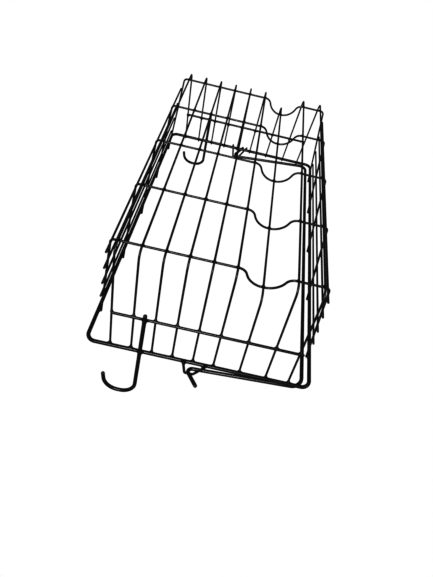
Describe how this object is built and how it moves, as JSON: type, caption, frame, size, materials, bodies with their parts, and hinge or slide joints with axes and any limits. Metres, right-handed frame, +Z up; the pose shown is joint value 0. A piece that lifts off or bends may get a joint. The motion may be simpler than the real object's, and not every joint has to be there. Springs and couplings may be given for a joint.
{
  "type": "hang-on wire basket",
  "caption": "Black coated wire carrying basket with a swinging bail handle, hanging hooks at both ends and a lengthwise groove in its floor for a cross tube.",
  "frame": {"origin": "on the ground plane under the centre of the rim, where the basket stands on its floor wires", "axes": "+X along the basket's length towards its back end, +Y across its width towards the floor groove's side, +Z up out of the open top"},
  "size_m": [0.4434, 0.2324, 0.1726],
  "materials": {
    "coated_rod": "satin black coating on thick steel rod",
    "coated_wire": "satin black coating on thin steel wire"
  },
  "bodies": {
    "basket": {"rim": "coated_rod", "floor_wire_1": "coated_wire", "floor_wire_2": "coated_wire", "floor_wire_3": "coated_wire", "floor_wire_4": "coated_wire", "floor_wire_5": "coated_wire", "floor_wire_6": "coated_wire", "floor_wire_7": "coated_wire", "floor_wire_8": "coated_wire", "floor_wire_9": "coated_wire", "cross_rib_1": "coated_wire", "cross_rib_2": "coated_wire", "cross_rib_3": "coated_wire", "cross_rib_4": "coated_wire", "cross_rib_5": "coated_wire", "side_wire_left_1": "coated_wire", "side_wire_left_2": "coated_wire", "side_wire_left_3": "coated_wire", "side_wire_left_4": "coated_wire", "side_wire_right_1": "coated_wire", "side_wire_right_2": "coated_wire", "side_wire_right_3": "coated_wire", "side_wire_right_4": "coated_wire", "end_bar_front": "coated_wire", "end_bar_back": "coated_wire", "hang_hook_front": "coated_rod", "hang_hook_back": "coated_rod", "handle_eye_front": "coated_wire", "handle_eye_back": "coated_wire"},
    "handle": {"carry_handle": "coated_rod"}
  },
  "joints": [
    {"name": "handle_swing", "type": "hinge", "parent": "basket", "child": "handle", "pos_m": [0, -0.0083, 0.1255], "axis": [1, 0, 0], "range_deg": [0, 189]}
  ]
}
